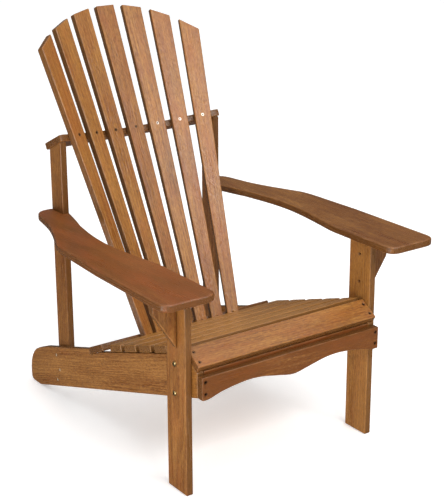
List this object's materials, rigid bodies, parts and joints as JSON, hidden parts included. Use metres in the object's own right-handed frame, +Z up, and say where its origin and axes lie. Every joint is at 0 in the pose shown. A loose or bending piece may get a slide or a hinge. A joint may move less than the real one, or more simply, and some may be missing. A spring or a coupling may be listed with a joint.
{
  "type": "adirondack chair",
  "caption": "Low outdoor armchair of flat hardwood boards: fanned reclined slat back, sloping slatted seat, broad waisted arms, scalloped front apron.",
  "frame": {"origin": "on the floor, in the middle of the chair's box", "axes": "+Z up, the sitter faces -Y, +X to the right of somebody who looks at the chair from the front"},
  "size_m": [0.776, 0.8816, 1.0032],
  "materials": {
    "oiled_hardwood": "satin oil on planed orange-brown eucalyptus, fine straight grain with short dark pores",
    "bolt_brass": "yellow-passivated, slightly dulled",
    "screw_steel": "dull, darkened by the oil"
  },
  "bodies": {
    "root": {"back_slat_1": "oiled_hardwood", "back_slat_2": "oiled_hardwood", "back_slat_3": "oiled_hardwood", "back_slat_4": "oiled_hardwood", "back_slat_5": "oiled_hardwood", "back_slat_6": "oiled_hardwood", "back_slat_7": "oiled_hardwood", "upper_crossbar": "oiled_hardwood", "lower_back_rail": "oiled_hardwood", "rear_post_left": "oiled_hardwood", "rear_post_right": "oiled_hardwood", "arm_left": "oiled_hardwood", "arm_right": "oiled_hardwood", "arm_bracket_left": "oiled_hardwood", "arm_bracket_right": "oiled_hardwood", "front_leg_left": "oiled_hardwood", "front_leg_right": "oiled_hardwood", "side_stringer_left": "oiled_hardwood", "side_stringer_right": "oiled_hardwood", "front_apron": "oiled_hardwood", "seat_front_rail": "oiled_hardwood", "front_seat_slat": "oiled_hardwood", "seat_slat_1": "oiled_hardwood", "seat_slat_2": "oiled_hardwood", "seat_slat_3": "oiled_hardwood", "seat_slat_4": "oiled_hardwood", "seat_slat_5": "oiled_hardwood", "leg_bolt_left_upper": "bolt_brass", "leg_bolt_left_lower": "bolt_brass", "leg_bolt_right_upper": "bolt_brass", "leg_bolt_right_lower": "bolt_brass", "leg_nut_left_upper": "bolt_brass", "leg_nut_left_lower": "bolt_brass", "leg_nut_right_upper": "bolt_brass", "leg_nut_right_lower": "bolt_brass", "slat_screw_1": "screw_steel", "slat_screw_2": "screw_steel", "slat_screw_3": "screw_steel", "slat_screw_4": "screw_steel", "slat_screw_5": "screw_steel", "slat_screw_6": "screw_steel", "slat_screw_7": "screw_steel", "apron_screw_left_upper": "screw_steel", "apron_screw_left_lower": "screw_steel", "apron_screw_right_upper": "screw_steel", "apron_screw_right_lower": "screw_steel", "front_slat_screw_left_rear": "screw_steel", "front_slat_screw_left_front": "screw_steel", "front_slat_screw_right_rear": "screw_steel", "front_slat_screw_right_front": "screw_steel", "post_screw_left_1": "screw_steel", "post_screw_left_2": "screw_steel", "post_screw_left_3": "screw_steel", "post_screw_right_1": "screw_steel", "post_screw_right_2": "screw_steel", "post_screw_right_3": "screw_steel", "bracket_screw_left_upper": "screw_steel", "bracket_screw_left_lower": "screw_steel", "bracket_screw_right_upper": "screw_steel", "bracket_screw_right_lower": "screw_steel"}
  },
  "joints": []
}
